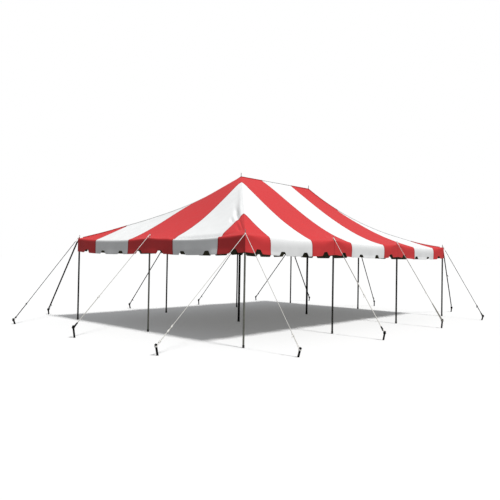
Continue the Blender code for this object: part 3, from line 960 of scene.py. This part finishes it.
def make_rope(name, pole, materials):
    """A guy rope: hitched on the pin, single down to its knots, then double to a loop round the stake."""
    shares, single, look, (loop_look, loop_length) = ROPES[name]
    dark = look in ("dark", "strap_and_painted_shade")
    x, y, _ = pole_place(f"side_pole_{pole}")
    on_cloth = Vector((x, y, cloth_top(x, y + PITCH_FORWARD)))
    on_pin = start = on_cloth + Vector((0, 0, ROPE_TOP))
    if pole == "front_1":
        on_pin = on_cloth + Vector((0, 0, NEAR_CORNER_ROPE[0]))
        start = on_pin + Vector(NEAR_CORNER_ROPE[1])
    foot, lean, stake_length = stake_axis(f"stake_{name}")
    on_stake = foot + lean * (stake_length - ROPE_BELOW_TOP)
    run = (on_stake - start).normalized()
    length = (on_stake - start).length
    side = run.cross(Vector((0, 0, 1))).normalized()
    knots = [start + run * length * share for share in shares]
    hitch = start if start is not on_pin else on_pin + run * HITCH_LENGTH
    white_end = start + run * (DARK_ROPE_WHITE_TOP if dark else WHITE_TOP)
    loop_start = start + run * (length - loop_length)

    r = ROPE_LOOKS["clean"][2]
    wrap = SIDE_PIN_RADIUS + r
    paths = {kind: [] for kind in ROPE_LOOKS}
    paths["clean"] += [
        coil(on_pin - Vector((0, 0, 0.012)), Vector((0, 0, 1)), wrap, 2 * r, 2.5),
        [on_pin + side * wrap, hitch + side * 0.2 * r],
        [on_pin - side * wrap, hitch - side * 0.2 * r],
        [hitch, white_end],
    ]
    if start is on_pin:
        paths["clean"].append(coil(hitch, run, 1.5 * r, 1.8 * r, 3))
    else:
        # The near corner's spare end is drawn light grey, as painted shade
        paths["light_painted_shade"].append([on_pin, on_pin + Vector(SPARE_END)])
    # Knots on the dark ropes are drawn near black, as painted shade
    knot_look, turns = ("dark", 2) if dark else ("knotted", 4)
    r = ROPE_LOOKS[knot_look][2]
    paths[knot_look] += [coil(knot, run, 1.7 * r, 1.8 * r, turns) for knot in knots]
    tail = knots[-1] + run * 0.02
    paths[knot_look].append([tail] + [tail + side * out + Vector((0, 0, up)) for out, up in SPARE_TAIL])
    if single:
        paths[single].append([white_end, knots[0]])
    double_start = knots[0] if single else white_end
    r = ROPE_LOOKS[look][2]
    loop_r = ROPE_LOOKS[loop_look][2]
    knot_length = STRAP_KNOT.get(name, 0.0)
    for way in (-1, 1):
        paths[look].append([double_start + side * way * r, loop_start + side * way * r])
        near = on_stake + side * way * (STAKE_RADIUS + loop_r) - run * 0.004
        far = loop_start + side * way * loop_r
        paths[loop_look].append([far, near.lerp(far, knot_length / loop_length)])
    # The turns round the stake are near black unless the loop is white or grey: the black strap's own colour
    # where there is one, painted shade elsewhere
    coil_look = loop_look if loop_look in ("knotted", "grey") else "dark"
    r = ROPE_LOOKS[coil_look][2]
    paths[coil_look].append(coil(on_stake, lean, STAKE_RADIUS + 0.9 * r, 1.9 * r, 1.5))
    if knot_length:
        r = ROPE_LOOKS["knotted"][2]
        middle = on_stake + lean * 0.012 - run * (0.5 * knot_length + STAKE_RADIUS)
        paths["knotted"].append(coil(middle, run, 2.0 * r, 1.8 * r, knot_length / (1.8 * r)))

    pieces = []
    for kind, (_, _, radius) in ROPE_LOOKS.items():
        if paths[kind]:
            piece = tube_from(paths[kind], radius, kind)
            dress(piece, materials[kind])
            pieces.append(piece)
    return finish_piece(join(pieces), f"rope_{name}", (f"guy_rope_{name}",))


# Stakes


def make_stakes(iron):
    """Driven stakes: a forged rod with a mushroomed head."""
    r = STAKE_RADIUS
    model = turned((
        (r, -0.020, 0), (r, 0.030, 0), (r, 0.170, 0), (r, 0.206, 0), (0.0220, 0.2085, 0), (0.0248, 0.2105, 0),
        (0.0260, 0.2145, 0), (0.0256, 0.2200, 0), (0.0225, 0.2270, 0), (0.0160, 0.2340, 0),
        (0.0090, 0.2385, 0), (0.0030, 0.2398, 0)), 20)
    for node in nodes_named("stake"):
        foot, lean, length = stake_axis(node)
        stake = copy_piece(model)
        for vert in stake.data.vertices:
            if vert.co.z > 0.5 * STAKE_LENGTH:
                vert.co.z += length - STAKE_LENGTH
        stake.data.transform(Matrix.Translation(foot) @ turned_to(lean))
        only(stake)
        bpy.ops.object.mode_set(mode="EDIT")
        bpy.ops.mesh.select_all(action="SELECT")
        bpy.ops.mesh.bisect(plane_co=(0, 0, 0), plane_no=(0, 0, -1), clear_outer=True, use_fill=True)
        bpy.ops.object.mode_set(mode="OBJECT")
        dress(stake, iron)
        finish_piece(stake, f"{node}_rod", (node,))
    bpy.data.objects.remove(model)


# Grommets


def make_grommets(zinc):
    """A plated ring where each pin comes through the cloth."""
    rings = []
    reach = 0.01
    for node in nodes_named("pole"):
        x, y, _ = pole_place(node)
        in_tent = y + PITCH_FORWARD
        centre = node.startswith("centre")
        top = taut_top(x, in_tent)
        rise_x = taut_top(x + reach, in_tent) - taut_top(x - reach, in_tent)
        rise_y = taut_top(x, in_tent + reach) - taut_top(x, in_tent - reach)
        up = Vector((-rise_x / (2 * reach), -rise_y / (2 * reach), 1)).normalized()
        bpy.ops.object.select_all(action="DESELECT")
        bpy.ops.mesh.primitive_torus_add(major_radius=0.020 if centre else 0.015, minor_radius=0.0035,
                                         major_segments=28, minor_segments=8)
        ring = bpy.context.object
        ring.data.transform(Matrix.Diagonal((1, 1, 0.55, 1)))
        ring.data.transform(Matrix.Translation((x, y, top + 0.003)) @ turned_to(up))
        bpy.ops.object.shade_smooth()
        rings.append(ring)
    grommets = join(rings)
    dress(grommets, zinc)
    return finish_piece(grommets, "pin_grommets")


# Floor, light and camera


def make_stage():
    """Pale floor, a white surround, a sun from the front and a broad light high behind the tent."""
    scene = bpy.context.scene
    bpy.ops.object.select_all(action="DESELECT")
    bpy.ops.mesh.primitive_plane_add(size=600)
    floor = bpy.context.object
    floor.name = "floor"
    floor.location.z = -0.0005
    material, tree, shader = start_material("pale_floor")
    feed(tree, shader, {"Base Color": (0.88, 0.88, 0.88, 1), "Roughness": 1.0,
                        "Emission Color": (1, 1, 1, 1), "Emission Strength": 0.15})
    # Only the camera sees the pale floor, which glows a little: light bounces off a darker one
    dim = add(tree, "BsdfDiffuse", {"Color": (0.28, 0.28, 0.28, 1)})
    path = add(tree, "LightPath")
    mix = add(tree, "MixShader", {0: path.outputs["Is Camera Ray"], 1: dim.outputs[0], 2: shader.outputs[0]})
    tree.links.new(mix.outputs[0], tree.nodes["Material Output"].inputs["Surface"])
    floor.data.materials.append(material)

    world = bpy.data.worlds.new("surround")
    world.use_nodes = True
    scene.world = world
    tree = world.node_tree
    soft = tree.nodes["Background"]
    feed(tree, soft, {"Color": (0.93, 0.96, 1.0, 1), "Strength": 0.24})
    seen = add(tree, "Background", {"Color": (1, 1, 1, 1), "Strength": 1.0})
    path = add(tree, "LightPath")
    mix = add(tree, "MixShader", {0: path.outputs["Is Camera Ray"], 1: soft.outputs[0], 2: seen.outputs[0]})
    tree.links.new(mix.outputs[0], tree.nodes["World Output"].inputs["Surface"])

    for name, strength, angle, towards in (("sun", 0.943, 9, (0.0, -0.530, 0.848)),
                                           ("high_backlight", 0.25, 40, (0.0, 0.50, 0.866))):
        light = bpy.data.lights.new(name, "SUN")
        light.energy = strength * math.pi
        light.angle = math.radians(angle)
        light.color = (1.0, 0.995, 0.985)
        lamp = bpy.data.objects.new(name, light)
        lamp.rotation_euler = Vector(towards).to_track_quat("Z", "Y").to_euler()
        lamp.visible_glossy = name == "sun"
        scene.collection.objects.link(lamp)
    # The light behind the tent leaves the floor out, so that it throws no shadow forward
    left_out = bpy.data.collections.new("left_out_by_backlight")
    left_out.objects.link(floor)
    lamp.light_linking.receiver_collection = left_out
    left_out.collection_objects[0].light_linking.link_state = "EXCLUDE"

    camera_data = bpy.data.cameras.new("camera")
    camera_data.lens = FOCAL_LENGTH
    camera_data.sensor_width = SENSOR_WIDTH
    camera_data.clip_end = 1000
    camera = bpy.data.objects.new("camera", camera_data)
    camera.location = CAMERA_PLACE
    camera.rotation_euler = [math.radians(a) for a in CAMERA_TURN]
    scene.collection.objects.link(camera)
    scene.camera = camera
    scene.view_settings.view_transform = "Standard"


def build():
    """Dress the whole tent."""
    outer = coated_vinyl("coated_vinyl_roof")
    skirt = coated_vinyl("coated_vinyl_valance", hem=True)
    lining = lining_coat()
    zinc = zinc_plate()
    make_stage()
    roof = make_roof(outer, lining)
    # The welt's vinyl is darkened to 0.6 of its colour: painted shade along the ridge and hips
    welt = make_welt(coated_vinyl("coated_vinyl_welt_painted_shade", shade=0.6))
    webbing = make_webbing(webbing_weave())
    grommets = make_grommets(zinc)
    # One tube colour in three copies: the paler one is painted light on the near poles, the darker one
    # painted shade on the centre poles
    make_poles(weathered_tube("galvanised_tube", "#2C2C27", "#444440"),
               weathered_tube("painted_light_galvanised_tube", "#777870", "#8D8E84"),
               weathered_tube("painted_shade_galvanised_tube", "#141412", "#242420"), zinc, moulded_rubber())
    for seed, (name, is_end, sign) in enumerate((("front", False, -1), ("back", False, 1),
                                                 ("left_end", True, -1), ("right_end", True, 1))):
        make_valance(name, is_end, sign, skirt, lining, seed)
    ropes = {look: braided_rope(f"braided_polyester_{look}", hex_colour, sheen)
             for look, (hex_colour, sheen, _) in ROPE_LOOKS.items()}
    for node in nodes_named("guy_rope_"):
        name = node.removeprefix("guy_rope_")
        make_rope(name, name.removesuffix("_end"), ropes)
    make_stakes(black_iron())


build()
